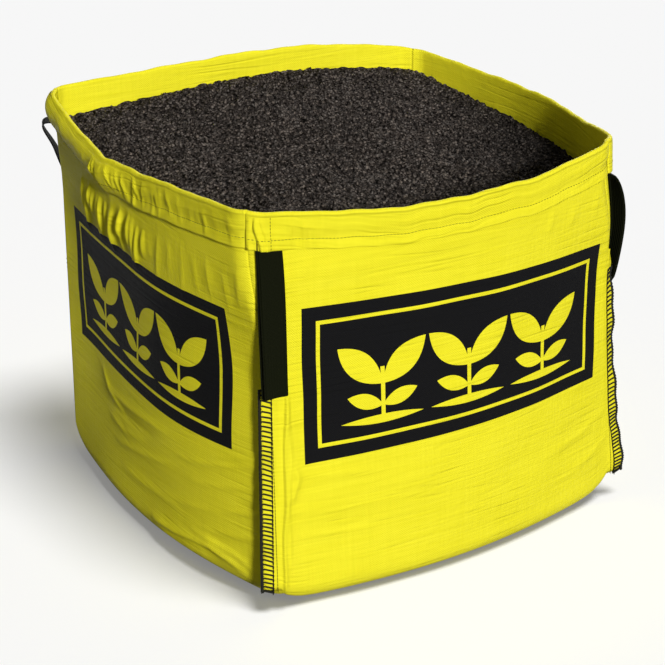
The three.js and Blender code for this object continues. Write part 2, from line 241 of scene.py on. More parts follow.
def ridge(s, z, path, width, height):
    """A crease along a path, sharp at its crest and tapering to its ends."""
    path = np.array(path, float)
    shares = run_along(path) / run_along(path)[-1]
    near, along = np.full(s.shape, 9.0), np.zeros(s.shape)
    for a, b, start, end in zip(path[:-1], path[1:], shares[:-1], shares[1:]):
        way = b - a
        u = np.clip(((s - a[0]) * way[0] + (z - a[1]) * way[1]) / (way @ way), 0, 1)
        gap = np.hypot(s - a[0] - u * way[0], z - a[1] - u * way[1])
        along = np.where(gap < near, start + u * (end - start), along)
        near = np.minimum(near, gap)
    return height * peak(near / width, CREST_ROUND) * np.sin(np.pi * np.clip(along, 0.01, 0.99)) ** 0.6


def ripple(s, z, count, low, high, height):
    """Loose waviness of the cloth from waves of mixed lengths and directions."""
    total = np.zeros(np.broadcast(s, z).shape)
    for _ in range(count):
        length, way, start = DRAW.uniform(low, high), DRAW.uniform(0, np.pi), DRAW.uniform(0, 6.3)
        total += np.sin((s * np.cos(way) + z * np.sin(way)) * 2 * np.pi / length + start)
    return total * height / math.sqrt(count)


# Creases: a path over the panel, a width and a height
LEFT_CREASES = (
    (((0.01, 0.054), (0.094, 0.06), (0.164, 0.07), (0.232, 0.077), (0.289, 0.065), (0.345, 0.046)),
     0.008, 0.007),
    (((0.05, 0.04), (0.12, 0.046), (0.19, 0.056), (0.26, 0.049)), 0.01, -0.006),
    (((0.16, 0.096), (0.22, 0.092), (0.3, 0.085), (0.37, 0.06)), 0.007, 0.003),
    (((0.13, 0.249), (0.227, 0.264), (0.43, 0.325)), 0.006, 0.0022),
    (((0.05, 0.13), (0.193, 0.155), (0.43, 0.219)), 0.007, 0.0026),
    (((0.11, 0.139), (0.271, 0.177), (0.43, 0.234)), 0.005, -0.0018),
    (((0.17, 0.205), (0.3, 0.235), (0.43, 0.285)), 0.006, 0.0018),
    (((0.2, 0.11), (0.31, 0.128), (0.43, 0.165)), 0.006, 0.0022),
    (((0.24, 0.285), (0.34, 0.315), (0.43, 0.35)), 0.005, 0.0016),
    (((-0.19, 0.262), (-0.09, 0.266), (0.022, 0.281), (0.11, 0.284)), 0.006, 0.003),
    (((-0.17, 0.232), (-0.06, 0.24), (0.05, 0.255)), 0.006, -0.0022),
    (((-0.16, 0.16), (-0.025, 0.187), (0.11, 0.216)), 0.007, 0.0028),
    (((-0.24, 0.3), (-0.2, 0.262), (-0.12, 0.236)), 0.006, 0.0024),
    (((-0.2, 0.205), (-0.11, 0.2), (0.00, 0.222)), 0.006, 0.002),
    (((-0.12, 0.11), (0.00, 0.118), (0.13, 0.128)), 0.008, 0.0024),
)
FRONT_NICKS = (0.44, 0.41, 0.385, 0.35, 0.31, 0.285, 0.19)
FRONT_CREASES = (
    (((-0.405, 0.47), (-0.402, 0.33), (-0.41, 0.23), (-0.408, 0.08)), 0.006, 0.0035),
    (((-0.395, 0.33), (-0.388, 0.29), (-0.402, 0.24)), 0.007, 0.004),
    (((-0.42, 0.3), (-0.33, 0.285), (-0.2, 0.272)), 0.005, 0.0014),
    (((-0.42, 0.215), (-0.3, 0.208), (-0.17, 0.204)), 0.005, 0.0012),
    (((-0.42, 0.16), (-0.32, 0.158), (-0.22, 0.15)), 0.005, 0.0012),
    (((0.2, 0.18), (0.32, 0.2), (0.42, 0.235)), 0.006, 0.0016),
    (((0.25, 0.11), (0.34, 0.128), (0.42, 0.16)), 0.006, 0.0014),
) + tuple((((-0.447, z), (-0.43, z - 0.02)), 0.0035, 0.0016) for z in FRONT_NICKS)


def loose_creases(count, slope):
    """Shallow creases that run in from the seams of a panel."""
    found = []
    for _ in range(count):
        side = DRAW.choice((-1, 1))
        start, reach = DRAW.uniform(0.06, 0.55), DRAW.uniform(0.1, 0.32)
        drop = reach * slope * DRAW.uniform(0.3, 1.2)
        path = [(side * (0.43 - reach * u), start - drop * u ** 0.8) for u in (0, 0.5, 1)]
        width = DRAW.uniform(0.005, 0.008)
        height = DRAW.choice((-1, 1)) * DRAW.uniform(0.001, 0.0022)
        found.append((path, width, height))
    return found


def gathers(spans, top, fall):
    """Short upright folds that hang from the hem seam."""
    found = []
    for low, high, count, height in spans:
        for s in np.linspace(low, high, count) + DRAW.uniform(-0.007, 0.007, count):
            length = fall * DRAW.uniform(0.6, 1.4)
            lean = DRAW.uniform(-0.022, 0.008)
            start = top - DRAW.uniform(0, 0.02)
            path = [(s, start), (s + lean * 0.4, start - length / 2), (s + lean, start - length)]
            found.append((path, DRAW.uniform(0.004, 0.009), height * DRAW.uniform(0.5, 1.3)))
    return found


WALL_CREASES = {
    "front": FRONT_CREASES + tuple(gathers(((-0.4, -0.25, 5, 0.0012), (0.2, 0.4, 4, 0.0012)), 0.75, 0.05)),
    "right": tuple(loose_creases(16, 0.25) + gathers(((-0.38, 0.38, 14, 0.0018),), 0.74, 0.08)),
    "back": tuple(loose_creases(16, 0.25) + gathers(((-0.38, 0.38, 14, 0.0018),), 0.78, 0.08)),
    "left": LEFT_CREASES + tuple(gathers(((-0.27, 0.04, 15, 0.0045), (0.06, 0.36, 8, 0.0016)), 0.73, 0.085)),
}

# The fold that runs up the front beside its left seam
SIDE_FOLD = dict(foot=-0.427, lean=0.018 / 0.47, height=0.0055, ends=(0.44, 0.5))


def wall_relief(k, s, z):
    """How far the cloth of a wall stands out in creases, none at its seams."""
    relief = ripple(s, z, 9, 0.12, 0.35, 0.0013)
    for path, width, height in WALL_CREASES[NAMES[k]]:
        relief = relief + ridge(s, z, path, width, height * CREASE_GAIN)
    if NAMES[k] == "front":
        line = SIDE_FOLD["foot"] + SIDE_FOLD["lean"] * z + 0.0015 * np.sin(z * 31)
        relief = relief + fold_edge(s, line, SIDE_FOLD["height"]) * (1 - smooth(z, *SIDE_FOLD["ends"]))
    return relief


def fold_edge(s, path_s, height):
    """A fold laid to one side: it climbs at once at path_s and falls away slowly."""
    climb = smooth(s, path_s - 0.002, path_s + 0.0006)
    return height * climb * (1 - smooth(s, path_s + 0.001, path_s + 0.012))


# Folds laid to one side in the front hem, at its left end: place and height
HEM_FOLDS = ((-0.468, 0.006), (-0.453, 0.0075), (-0.445, 0.004), (-0.372, 0.003))

# Hem puckers, as spans along the panel with a count and a height
HEM_PUCKERS = {
    "front": ((-0.39, -0.34, 3, 0.0032), (-0.34, 0.36, 10, 0.0012), (0.36, 0.42, 4, 0.002)),
    "right": ((-0.4, 0.4, 18, 0.0018),),
    "back": ((-0.4, 0.4, 18, 0.0016),),
    "left": ((-0.4, -0.13, 5, 0.0012), (-0.14, 0.12, 17, 0.0042),
             (0.12, 0.36, 8, 0.003), (0.37, 0.42, 4, 0.0035)),
}


def hem_relief(k, s, depth):
    """Puckers that the hem's stitching draws into it, by depth below the rim."""
    relief = ripple(s, depth * 0.3, 6, 0.06, 0.2, 0.0009)
    if NAMES[k] == "front":
        for place, height in HEM_FOLDS:
            relief = relief + fold_edge(s, place + 0.004 * np.sin(depth * 60 + 90 * place), height)
    for low, high, count, height in HEM_PUCKERS[NAMES[k]]:
        for place in np.linspace(low, high, count) + DRAW.uniform(-0.008, 0.008, count):
            top, foot = DRAW.uniform(0.0, 0.03), DRAW.uniform(0.055, 0.085)
            path = [(place - DRAW.uniform(-0.006, 0.022), top), (place, foot)]
            width = DRAW.uniform(0.0022, 0.0042)
            relief = relief + ridge(s, depth, path, width, height * DRAW.uniform(0.3, 1.3))
    return relief


# Meshes
TINY = 1e-12


def put(name, data):
    """A new object in the scene."""
    thing = bpy.data.objects.new(name, data)
    bpy.context.collection.objects.link(thing)
    return thing


def make_piece(name, points, faces, finish, uvs=None, flat=False):
    mesh = bpy.data.meshes.new(name)
    mesh.from_pydata(np.asarray(points, float).reshape(-1, 3).tolist(), [], [list(f) for f in faces])
    corners_of = np.empty(len(mesh.loops), np.int32)
    mesh.loops.foreach_get("vertex_index", corners_of)
    for label, places in (uvs or {}).items():
        layer = mesh.uv_layers.new(name=label)
        layer.data.foreach_set("uv", np.asarray(places, np.float32)[corners_of].ravel())
    mesh.polygons.foreach_set("use_smooth", np.full(len(mesh.polygons), not flat))
    mesh.materials.append(finish)
    mesh.validate()
    mesh.update()
    piece = put(name, mesh)
    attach(piece, "root")
    return piece


def thick_sheet(points, thickness, cells=None):
    """A closed sheet about a grid of points. Returns points, faces and the grid place of each point."""
    columns, rows = points.shape[0] - 1, points.shape[1] - 1
    if cells is None:
        cells = np.ones((columns, rows), bool)
    facing = np.cross(points[1:, 1:] - points[:-1, :-1], points[:-1, 1:] - points[1:, :-1])
    facing *= cells[..., None] / (np.linalg.norm(facing, axis=-1, keepdims=True) + TINY)
    normals, used = np.zeros(points.shape), np.zeros(points.shape[:2], bool)
    for i, j in ((0, 0), (1, 0), (1, 1), (0, 1)):
        normals[i:columns + i, j:rows + j] += facing
        used[i:columns + i, j:rows + j] |= cells
    normals *= thickness / 2 / (np.linalg.norm(normals, axis=-1, keepdims=True) + TINY)
    number = np.full(points.shape[:2], -1)
    number[used] = np.arange(used.sum())
    step = used.sum()
    i, j = np.nonzero(cells)
    ring = [number[i, j], number[i + 1, j], number[i + 1, j + 1], number[i, j + 1]]
    faces = [np.stack(ring, 1), np.stack(ring[::-1], 1) + step]
    padded = np.pad(cells, 1)
    for side, (di, dj) in enumerate(((0, -1), (1, 0), (0, 1), (-1, 0))):
        open_side = ~padded[i + 1 + di, j + 1 + dj]
        p, q = ring[side][open_side], ring[(side + 1) % 4][open_side]
        faces.append(np.stack([q, p, p + step, q + step], 1))
    return np.concatenate([(points + normals)[used], (points - normals)[used]]), np.concatenate(faces), used


# Panels
WALL_COLUMNS = dict(front=216, right=130, back=130, left=240)

# Where a panel's columns are closest together, how far that reaches and by how much
EVEN = (0.5, 0.3, 0.0)
CLOSE_COLUMNS = dict(front=(0.0, 0.1, 2.5), right=EVEN, back=EVEN, left=(0.4, 0.22, 1.2))
WALL_ROWS = dict(front=150, right=104, back=104, left=150)
FIN_COLUMNS = 6
LIP_ROWS = 3
ARC_ROWS = 8
ROLL_ROWS = 8
FLAP_ROWS = 20

# Waves of the cloth's edges: height and length
FIN_WAVES = ((0.0035, 0.19), (0.002, 0.071))
RIM_WAVES = ((0.0014, 0.19), (0.0009, 0.083))

# How far the turned-out hem stands off the wall, at depths below the rim and over a loop
HEM_DEPTHS = (0, 0.01, 0.03, HEM_STITCH, FLAP_DEPTH)
HEM_STANDS = (0.0098, 0.0098, 0.0094, 0.005, 0.0072)
LOOP_STAND = 0.0105

# The place where the left rim juts out
KINK = dict(place=-0.097, reach=0.06, out=0.011, fade=(0.02, 0.13))

# Dips of the rim along a panel: place, reach and depth
RIM_CREASES = {"front": (0.74, 0.05, 0.0032749), "right": (0.42, 0.05, 0.0024562)}
RIM_SAGS = {"front": (0.33, 0.2, 0.008), "right": (0.25, 0.1, 0.009), "back": (0.62, 0.3, 0.005)}
NO_DIP = (0.5, 1, 0)


def column_places(name):
    """Places of a panel's columns, closer together where its cloth is most puckered."""
    middle, spread, more = CLOSE_COLUMNS[name]
    fine = np.linspace(0, 1, 2001)
    weight = 1 + more * np.exp(-((fine - middle) / spread) ** 2)
    gone = np.concatenate([[0], np.cumsum((weight[1:] + weight[:-1]) / 2)])
    return np.interp(np.linspace(0, 1, WALL_COLUMNS[name] + 1), gone / gone[-1], fine)


def wander(place, start, waves):
    """The sum of the waves along an edge, each one starting further on."""
    turns = [place * 2 * np.pi / length + n * start for n, (_, length) in enumerate(waves, 1)]
    return sum(height * np.sin(turn) for (height, _), turn in zip(waves, turns))


def fin_wave(k, z):
    """How far a fin's free edge wanders off the plane of the fin."""
    return wander(z, (0.4, 2.1, 3.6, 5.0)[k % 4], FIN_WAVES)


def fin_place(k, z, share, side, layer=1):
    """A place on the fin of corner k in the coordinates of panel k, side layers off its middle."""
    s, o = left_seam(k, z, layer)
    turn = math.radians(corner(k)["fin_turn"])
    reach = share * fin_width(corner(k), z)
    off = (side - 1) * SEAM_STEP / 2 + share * fin_wave(k, z)
    s = s - math.cos(turn) * reach + math.sin(turn) * off
    o = o + math.sin(turn) * reach + math.cos(turn) * off
    return s, o


def loop_span(post):
    """The panel that a loop hangs on, and the ends of its width along that panel."""
    index = CORNERS.index(post)
    if post["on_left"]:
        edge = HALF - post["pull"] - post["loop_offset"]
        return (index - 1) % 4, edge - LOOP_WIDTH, edge
    edge = -HALF + post["loop_offset"]
    return index, edge, edge + LOOP_WIDTH


def flap_stand(k, s, depth):
    """How far the turned-out hem stands off the wall: puffed above its stitching, and over loops."""
    stand = np.interp(depth, HEM_DEPTHS, HEM_STANDS)
    if NAMES[k] == "left":
        # Towards the back corner this hem is a fuller roll
        close = 1 - smooth(s, -0.1, 0.03)
        down = np.clip(depth / FLAP_DEPTH, 0, 1)
        roll = 0.0028 + 0.007 * (1 - down) + 0.015 * np.sin(np.pi * down ** 0.85)
        stand = stand + (roll - stand) * close
    for post in CORNERS:
        panel, low, high = loop_span(post)
        if panel == k:
            over = smooth(s, low - 0.03, low) * smooth(-s, -high - 0.03, -high)
            stand = stand + np.maximum(0, LOOP_STAND - stand) * over
    return stand


def rim_kink(name, s, depth):
    """The left rim juts out at one place, where the cloth is pulled from both sides."""
    if name != "left":
        return 0 * s
    jut = KINK["out"] * peak((s - KINK["place"]) / KINK["reach"], TIP_ROUND)
    return jut * (1 - smooth(depth, *KINK["fade"]))


def rim_dip(name, t):
    """How far the rim is down: it wanders a little, sags, and has one sharp crease on two panels."""
    place, reach, depth = RIM_CREASES.get(name, NO_DIP)
    crease = depth * peak((t - place) / reach, TIP_ROUND)
    place, reach, depth = RIM_SAGS.get(name, NO_DIP)
    sag = depth * np.exp(-((t - place) / reach) ** 2)
    return sag + crease + wander(t, 1.7 * len(name), RIM_WAVES) * np.sin(np.pi * t)


def drawn_in(s, o, inset):
    share = 1 - inset / HALF
    return s * share, (o + HALF) * share - HALF


def panel_grid(k):
    """Grid of a panel's points, its cells that are cloth, and flat places for its weave and print."""
    name = NAMES[k]
    wall_rows = WALL_ROWS[name]
    t = column_places(name)[:, None]
    rim = rim_height(k, t) - rim_dip(name, t)
    roll_z = rim - CLOTH / 2 - ROLL_RADIUS
    foot = LIP_HEIGHT + BASE_ROUND
    angle = np.linspace(0, np.pi / 2, ARC_ROWS + 1)[None]
    turn = np.linspace(0, np.pi, ROLL_ROWS + 1)[None]
    hang = np.linspace(0, 1, FLAP_ROWS + 1)[None, 1:]
    up = np.linspace(0, 1, wall_rows + 1)[None, 1:]
    wide = np.ones_like(t)
    lip_in = np.linspace(BASE_ROUND + LIP, BASE_ROUND, LIP_ROWS + 1)[None, :-1]
    z = np.hstack([
        LIP_HEIGHT * np.ones_like(lip_in) * wide,
        (LIP_HEIGHT + BASE_ROUND * (1 - np.cos(angle))) * wide,
        foot + (roll_z - foot) * up,
        roll_z + ROLL_RADIUS * np.sin(turn[:, 1:]),
        roll_z + (rim - FLAP_DEPTH - roll_z) * hang,
    ])
    upright = np.zeros((1, wall_rows + ROLL_ROWS + FLAP_ROWS))
    inset = np.hstack([lip_in, BASE_ROUND * (1 - np.sin(angle)), upright])
    s, o = rounded(k, t, z)
    first_roll = LIP_ROWS + ARC_ROWS + 1 + wall_rows
    first_flap = first_roll + ROLL_ROWS
    depth = rim - z
    ends = smooth(t, 0, 0.03) * smooth(1 - t, 0, 0.03)
    hem_ends = smooth(t, 0, 0.01) * smooth(1 - t, 0, 0.01)
    under_hem = smooth(depth, 0.02, HEM_DEPTH)
    lift = wall_relief(k, s, z) * hem_ends * smooth(z, 0.0, 0.06) * (0.35 + 0.65 * under_hem)
    in_hem = smooth(depth, 0.004, 0.024) * (1 - smooth(depth, HEM_DEPTH, HEM_DEPTH + 0.02))
    pucker = hem_relief(k, s, depth) * in_hem
    stand = np.zeros_like(z)
    stand[:, first_roll:first_flap] = ROLL_RADIUS * (1 - np.cos(turn[:, 1:]))
    stand[:, first_flap:] = flap_stand(k, s[:, first_flap:], depth[:, first_flap:])
    stand[:, first_flap:] += (np.maximum(pucker, -0.002) * hem_ends)[:, first_flap:]
    ds, do = np.gradient(s, axis=0), np.gradient(o, axis=0)
    size = np.hypot(ds, do)
    out = lift + stand + rim_kink(name, s, depth)
    s, o = drawn_in(s, o, inset)
    s, o = s - do / size * out, o + ds / size * out
    z = z + np.where(stand > 0, pucker * 0.15 * ends, 0)
    climb = np.where(np.arange(z.shape[1])[None] >= first_flap, 2 * rim - z, z)

    # Seam allowances at both ends
    end_z, far_z = z[0], z[-1]
    share = np.linspace(1, 0, FIN_COLUMNS + 1)[:-1, None]
    near_s, near_o = drawn_in(*fin_place(k, end_z[None], share, 1), inset)
    far_s, far_o = drawn_in(*from_next(*fin_place(k + 1, far_z[None], share[::-1], 1, -1)), inset)
    flat_s = np.vstack([s[:1] - share * FIN_WIDTH, s, s[-1:] + share[::-1] * FIN_WIDTH])
    s, o = np.vstack([near_s, s, far_s]), np.vstack([near_o, o, far_o])
    t, z, climb = [np.pad(values, ((FIN_COLUMNS,) * 2, (0, 0)), "edge") for values in (t, z, climb)]
    cells = np.ones((z.shape[0] - 1, z.shape[1] - 1), bool)
    below_roll = np.arange(cells.shape[1]) < first_roll - 1
    fins = ((slice(0, FIN_COLUMNS), end_z, corner(k)), (slice(-FIN_COLUMNS, None), far_z, corner(k + 1)))
    for part, level, post in fins:
        cells[part] = (level[:-1] > FIN_FOOT) & (level[1:] < post["fin_top"]) & below_roll
    low_s, high_s, low_z, high_z = PANELS[k]["field"]
    weave = np.stack([flat_s, climb], -1)
    share_s = (flat_s - low_s) / (high_s - low_s)
    low_z, high_z = low_z + PANELS[k]["taper"][0] * share_s, high_z + PANELS[k]["taper"][1] * share_s
    field = np.stack([share_s, (climb - low_z) / (high_z - low_z)], -1)
    return to_bag(k, s, o, lifted(k, t, z)), cells, weave, field, first_flap


def sew_panel(k, finish):
    points, cells, weave, field, first_flap = panel_grid(k)
    places, faces, used = thick_sheet(points, CLOTH, cells)
    both = {"weave": np.concatenate([weave[used]] * 2), "print": np.concatenate([field[used]] * 2)}
    piece = make_piece(NAMES[k] + "_cloth", places, faces, finish, both)
    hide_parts(NAMES[k] + "_panel")
    return points[FIN_COLUMNS:-FIN_COLUMNS], first_flap


# Threads: length, width and height of the stitches, and pitches, reaches and radii in metres
HEM_STITCH_SIZE = (0.0052, 0.0014, 0.0007)
LOOP_STITCH_SIZE = (0.0045, 0.0016, 0.0008)
CHAIN_STITCH_SIZE = (0.0058, 0.0016, 0.0008)
STITCH_PITCH = 0.0075
LOOP_STITCHES = 10
OVERLOCK_PITCH = 0.0104
OVERLOCK_REACH = 0.021
OVERLOCK_SLANT = 0.0045
OVERLOCK_STOP = 0.045
OVERLOCK_RADIUS = 0.002
RAIL_RADIUS = 0.0009
EDGE_PITCH = 0.0034
EDGE_RADIUS = 0.0034
OFF_ALL_THREADS = (0.31, 0.17, 0.93)


def unit(ways):
    return ways / np.linalg.norm(ways, axis=-1, keepdims=True)


def heading(line):
    return unit(np.gradient(line, axis=0))


def closed_rings(rings):
    """Points and faces of a closed skin over rings of points."""
    number = np.arange(rings.shape[0] * rings.shape[1]).reshape(rings.shape[:2])
    after = np.roll(number, -1, axis=1)
    faces = np.stack([number[:-1], after[:-1], after[1:], number[1:]], -1).reshape(-1, 4).tolist()
    return rings.reshape(-1, 3), faces + [number[0, ::-1].tolist(), number[-1].tolist()]


def stitch_dashes(centres, ways, ups, size):
    """Low rounded dashes of thread, each one closed."""
    length, width, height = size
    dashes = []
    for centre, way, up in zip(centres, ways, ups):
        side = np.cross(up, way)
        rings = []
        for along, grow in ((-0.5, 0.35), (-0.25, 1), (0.25, 1), (0.5, 0.35)):
            middle = centre + way * length * along
            across, rise = side * width * grow, up * height * grow
            rings.append([middle - across / 2, middle + rise, middle + across / 2, middle - rise])
        dashes.append(closed_rings(np.array(rings)))
    return joined(dashes)


def tube(path, radius, sides=5):
    """A closed round thread along a path."""
    path = np.array(path, float)
    way = heading(path)
    side = unit(np.cross(way, OFF_ALL_THREADS))
    angle = 2 * np.pi * np.arange(sides)[None, :, None] / sides
    off = side[:, None] * np.cos(angle) + np.cross(way, side)[:, None] * np.sin(angle)
    return closed_rings(path[:, None] + radius * off)


def joined(parts):
    points, faces = [], []
    for more_points, more_faces in parts:
        faces.extend(tuple(n + len(points) for n in face) for face in more_faces)
        points.extend(more_points)
    return points, faces


def sew_line(name, line, ups, places, stops, size, finish):
    """A row of stitches on a line of the cloth's points, at stops among the places of these."""
    rows = []
    for values in (line + ups * CLOTH * 0.6, heading(line), ups):
        rows.append(np.stack([np.interp(stops, places, values[:, n]) for n in range(3)], 1))
    piece = make_piece(name, *stitch_dashes(*rows, size), finish)


def hem_stitches(k, flap, first_flap, finish):
    """The row of stitches round the hem."""
    row = first_flap + int(round(FLAP_ROWS * HEM_STITCH / FLAP_DEPTH))
    line, above = flap[:, row], flap[:, row - 1]
    ups = unit(np.cross(heading(line), above - line))
    gaps = run_along(line)
    stops = np.arange(0.006, gaps[-1] - 0.006, STITCH_PITCH)
    sew_line(NAMES[k] + "_hem_stitches", line, ups, gaps, stops, HEM_STITCH_SIZE, finish)


def loop_stitches(k, flap, first_flap, finish):
    """An upright row of stitches through the hem and each loop that hangs on the panel."""
    columns = to_bag((4 - k) % 4, flap[:, first_flap, 0], -HALF - flap[:, first_flap, 1], 0.0)[:, 0]
    for post in CORNERS:
        panel, low, high = loop_span(post)
        if panel != k:
            continue
        column = int(np.argmin(abs(columns - (low + high) / 2)))
        line = flap[column, first_flap:]
        ups = unit(np.cross(flap[column + 1, first_flap:] - line, -heading(line)))
        rows = np.arange(len(line))
        stops = np.linspace(0.6, len(line) - 2.2, LOOP_STITCHES)
        sew_line(post["name"] + "_loop_stitches", line, ups, rows, stops, LOOP_STITCH_SIZE, finish)


def on_fin(k, z, share, side):
    """A place on the fin of corner k in the bag's own frame."""
    return to_bag(k, *fin_place(k, np.float64(z), share, side), lifted(k, 0, z))


def fin_threads(k, finish):
    """Overlock thread wrapped round the free edge of a fin, a rail on each side, and the edge's cord."""
    post = corner(k)
    top = post["fin_top"] - OVERLOCK_STOP
    parts, rails = [], ([], [])
    proud = 1 + 2 * (CLOTH / 2 + 0.0008) / SEAM_STEP
    half_pitch = np.array((0, 0, OVERLOCK_PITCH / 2))
    for z in np.arange(FIN_FOOT + 0.006, top, OVERLOCK_PITCH):
        width = float(fin_width(post, z))
        inner = max(1 - OVERLOCK_REACH / width, 0.1)
        outer, past = 1 - 0.003 / width, 1 + 0.0018 / width
        way = ((inner, -OVERLOCK_SLANT, proud), (outer, 0.001, proud), (past, 0, 0.0),
               (outer, 0.001, -proud), (inner, -OVERLOCK_SLANT, -proud))
        path = [on_fin(k, z + rise, share, side) for share, rise, side in way]
        parts.append(tube(path, OVERLOCK_RADIUS))
        rails[0].extend((path[0], path[1] * 0.12 + path[0] * 0.88 - half_pitch))
        rails[1].extend((path[4], path[3] * 0.12 + path[4] * 0.88 - half_pitch))
    parts.extend(tube(rail, RAIL_RADIUS) for rail in rails)
    edge = []
    for n, z in enumerate(np.arange(FIN_FOOT + 0.002, top, EDGE_PITCH)):
        share = 1 + (0.002 + 0.0008 * (n % 2)) / float(fin_width(post, z))
        edge.append(on_fin(k, z, share, 0.8 * (-1) ** n))
    parts.append(tube(edge, EDGE_RADIUS, 6))
    piece = make_piece(post["name"] + "_overlock", *joined(parts), finish)


def chain_stitches(k, finish):
    """A line of stitches up both faces of a fin, near the wall."""
    post = corner(k)
    top = post["fin_top"] - FIN_RUN_OUT
    parts = []
    for side in (1, -1):
        centres, ways, ups = [], [], []
        proud = side * (1 + 2 * (CLOTH / 2 + 0.0002) / SEAM_STEP)
        for z in np.arange(FIN_FOOT + 0.004, top, STITCH_PITCH):
            here = on_fin(k, z, 0.18, proud)
            way = unit(on_fin(k, z + 0.004, 0.18, proud) - here)
            centres.append(here)
            ways.append(way)
            ups.append(unit(np.cross(way, here - on_fin(k, z, 0.33, proud)) * side))
        parts.append(stitch_dashes(centres, ways, ups, CHAIN_STITCH_SIZE))
    piece = make_piece(post["name"] + "_chain_stitch", *joined(parts), finish)


# Lifting loops
LEG_ROWS = 26
BIGHT_ROWS = 8
STRAP_COLUMNS = 6


def strap(post, finish):
    """A lifting loop: down one leg from under the hem, round the bight and up the other."""
    k, low, high = loop_span(post)
    across = np.linspace(high, low, STRAP_COLUMNS + 1)[:, None]
    ends_t = np.clip(across / (2 * HALF) + 0.5, 0, 1)
    flap_edge = float(rim_height(k, ends_t).min()) - HEM_DEPTH - WEBBING
    bight_z = flap_edge - post["loop_drop"] + BIGHT_RADIUS + WEBBING / 2
    foot_in = LEG_OFFSET + LOOP_STANDOFF
    fall = np.linspace(0, 1, LEG_ROWS + 1)
    angle = np.linspace(0, np.pi, BIGHT_ROWS + 1)[1:-1]
    tuck = np.array([1.0, 0.5])
    inner_out = LEG_OFFSET + LOOP_STANDOFF * np.sqrt(fall)
    past = fall / post["loop_peak"]
    bulge = post["loop_bulge"] * past * np.exp(1 - past) * (1 - fall ** 4)
    outer_out = LEG_OFFSET + LEG_STEP + (foot_in + 2 * BIGHT_RADIUS - LEG_OFFSET - LEG_STEP) * fall + bulge
    leg_z = flap_edge + (bight_z - flap_edge) * fall
    z = np.concatenate([flap_edge + LOOP_TUCK * tuck, leg_z, bight_z - BIGHT_RADIUS * np.sin(angle),
                        leg_z[::-1], flap_edge + LOOP_TUCK * tuck[::-1]])[None]
    out = np.concatenate([np.full(2, LEG_OFFSET), inner_out, foot_in + BIGHT_RADIUS * (1 - np.cos(angle)),
                          outer_out[::-1], np.full(2, LEG_OFFSET + LEG_STEP)])[None]
    (left_s, _), (right_s, _) = left_seam(k, z), right_seam(k, z)
    lean = post["loop_lean"] * smooth(flap_edge - z, 0.0, 0.45 * (flap_edge - bight_z))
    t = np.clip((across + lean - left_s) / (right_s - left_s), 0, 1)
    o = wall(k, t, z)[1] + out
    turned = np.zeros_like(z)
    outer = slice(2 + len(fall) + len(angle), 2 + 2 * len(fall) + len(angle))
    turned[0, outer] = math.radians(post["loop_turn"]) * np.sqrt(bulge / max(bulge.max(), 1e-9))[::-1]
    from_edge = high - across
    o = o + from_edge * np.sin(turned)
    points = to_bag(k, high + lean - from_edge * np.cos(turned), o, z + 0 * across)
    places, faces, used = thick_sheet(points, WEBBING)
    run = run_along(points[0])
    flat = np.stack(np.broadcast_arrays(across - across.mean(), run[None]), -1)[used]
    both = {"weave": np.concatenate([flat] * 2)}
    piece = make_piece(post["name"] + "_webbing", places, faces, finish, both)
    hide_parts("lift_loop_" + post["name"])
    NAMES[k] + "_cloth"


# Soil
SOIL_COLUMNS = 110
SOIL_RINGS = 108
SOIL_SIDE_ROWS = 12
SOIL_FOOT = 0.012
SOIL_SLACK = 0.012
SOIL_GAP = 0.002
CRUMBS = 7600


def soil_edge(k, t):
    """Where the soil meets the cloth."""
    z = soil_height(k, t)
    s, o = rounded(k, t, z)
    return s, o - SOIL_GAP, z


def soil_side(k, t, share):
    """The soil's side at a share of its height."""
    z = SOIL_FOOT + (soil_height(k, t) - SOIL_FOOT) * share
    sunk = BASE_ROUND * np.clip(1 - z / BASE_ROUND, 0, 1)
    return *drawn_in(*rounded(k, t, z), sunk + SOIL_SLACK), lifted(k, t, z)


def soil_heap():
    edge = round_bag(SOIL_COLUMNS, soil_edge)
    middle = edge.mean(axis=0)
    share = np.linspace(0, 1, SOIL_RINGS + 1)[:-1, None, None]
    top = edge[None] * (1 - share) + middle * share
    top[..., 2] += SOIL_DOME * (1 - (1 - share[..., 0]) ** 2)
    x, y = top[..., 0], top[..., 1]
    inside = smooth(share[..., 0], 0, 0.15)
    for length, degrees, start, rise in SOIL_WAVES:
        turn = math.radians(degrees)
        along = x * math.cos(turn) + y * math.sin(turn)
        top[..., 2] += rise * np.sin(2 * np.pi * (along / length + start)) * inside
    top[..., 2] += ripple(x, y, 14, 0.025, 0.07, 0.0016) * (0.4 + 0.6 * inside)
    top[..., 2] += DRAW.uniform(-0.0032, 0.0032, x.shape) * np.sqrt(1 - share[..., 0])
    top[0, :, 2] += ripple(x[0], y[0], 8, 0.02, 0.1, 0.0018)
    return top, middle


def fill_soil(finish):
    top, middle = soil_heap()
    shares = np.linspace(0, 0.97, SOIL_SIDE_ROWS)
    below = [round_bag(SOIL_COLUMNS, partial(soil_side, share=share)) for share in shares]
    stack = np.concatenate([np.array(below), top])
    points, faces = closed_rings(stack)
    points = np.concatenate([points, [(0, 0, SOIL_FOOT)], [middle + (0, 0, SOIL_DOME)]])
    for ring, centre in ((faces.pop(-2), len(points) - 2), (faces.pop(), len(points) - 1)):
        faces += [(centre, a, b) for a, b in zip(ring, ring[1:] + ring[:1])]
    piece = make_piece("soil_bed", points, faces, finish, flat=True)
    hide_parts("topsoil")
    return top


